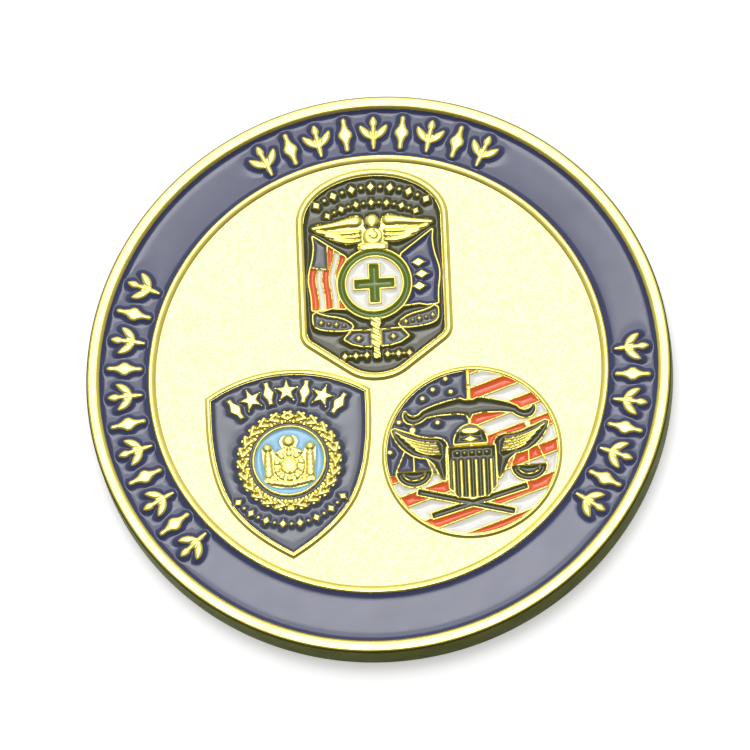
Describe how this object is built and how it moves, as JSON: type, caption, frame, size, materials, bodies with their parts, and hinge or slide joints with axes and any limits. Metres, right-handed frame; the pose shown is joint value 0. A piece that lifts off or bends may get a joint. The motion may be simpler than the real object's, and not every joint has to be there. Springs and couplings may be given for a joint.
{
  "type": "challenge coin",
  "caption": "Round struck metal coin with a raised rim, an enamelled ornament band and three enamelled crests on a sandblasted field.",
  "frame": {"origin": "centre of the reverse rim plane, on which the coin lies", "axes": "+Z through the coin towards the obverse, +Y towards the top of the design"},
  "size_m": [0.0508, 0.0508, 0.0032],
  "materials": {
    "gold_plate": "struck and gold plated: polished rims and lines, sandblasted field",
    "slate_enamel": "baked enamel, glossy",
    "navy_enamel": "baked enamel, glossy",
    "black_enamel": "baked enamel, glossy",
    "grey_enamel": "baked enamel, glossy",
    "green_enamel": "baked enamel, glossy",
    "white_enamel": "baked enamel, glossy",
    "red_enamel": "baked enamel, glossy",
    "sky_enamel": "baked enamel, glossy"
  },
  "bodies": {
    "root": {"struck_body": "gold_plate", "badge_ground_part_1_enamel": "black_enamel", "badge_ground_part_2_enamel": "black_enamel", "badge_ground_part_3_enamel": "black_enamel", "balance_beam_enamel": "black_enamel", "band_enamel": "slate_enamel", "canton_part_1_enamel": "navy_enamel", "canton_part_2_enamel": "navy_enamel", "canton_part_3_enamel": "navy_enamel", "canton_part_4_enamel": "navy_enamel", "crest_shield_enamel": "black_enamel", "crossed_staves_enamel": "black_enamel", "finial_enamel": "black_enamel", "flag_red_2_enamel": "red_enamel", "flag_red_3_part_1_enamel": "red_enamel", "flag_red_3_part_2_enamel": "red_enamel", "flag_red_4_part_1_enamel": "red_enamel", "flag_red_4_part_2_enamel": "red_enamel", "flag_red_5_part_1_enamel": "red_enamel", "flag_red_5_part_2_enamel": "red_enamel", "flag_red_5_part_3_enamel": "red_enamel", "flag_red_5_part_4_enamel": "red_enamel", "flag_red_5_part_5_enamel": "red_enamel", "flag_red_6_part_1_enamel": "red_enamel", "flag_red_6_part_2_enamel": "red_enamel", "flag_red_7_enamel": "red_enamel", "flag_white_1_enamel": "white_enamel", "flag_white_2_enamel": "white_enamel", "flag_white_3_enamel": "white_enamel", "flag_white_4_part_1_enamel": "white_enamel", "flag_white_4_part_2_enamel": "white_enamel", "flag_white_4_part_3_enamel": "white_enamel", "flag_white_5_part_1_enamel": "white_enamel", "flag_white_5_part_2_enamel": "white_enamel", "flag_white_5_part_3_enamel": "white_enamel", "flag_white_6_part_1_enamel": "white_enamel", "flag_white_6_part_2_enamel": "white_enamel", "pan_left_enamel": "black_enamel", "pan_right_enamel": "black_enamel", "pennant_blue_enamel": "slate_enamel", "pennant_canton_enamel": "grey_enamel", "pennant_stripe_1_enamel": "red_enamel", "pennant_stripe_2_enamel": "white_enamel", "pennant_stripe_3_enamel": "red_enamel", "pennant_stripe_4_enamel": "white_enamel", "pennant_stripe_5_enamel": "red_enamel", "reverse_band_enamel": "slate_enamel", "roundel_cross_enamel": "green_enamel", "roundel_green_ring_enamel": "green_enamel", "roundel_white_disc_enamel": "white_enamel", "scroll_fold_left_enamel": "grey_enamel", "scroll_fold_right_enamel": "grey_enamel", "scroll_middle_left_enamel": "grey_enamel", "scroll_middle_right_enamel": "grey_enamel", "seal_disc_enamel": "sky_enamel", "seal_surround_enamel": "grey_enamel", "shield_ground_enamel": "navy_enamel", "wing_left_enamel": "black_enamel", "wing_right_enamel": "black_enamel"}
  },
  "joints": []
}
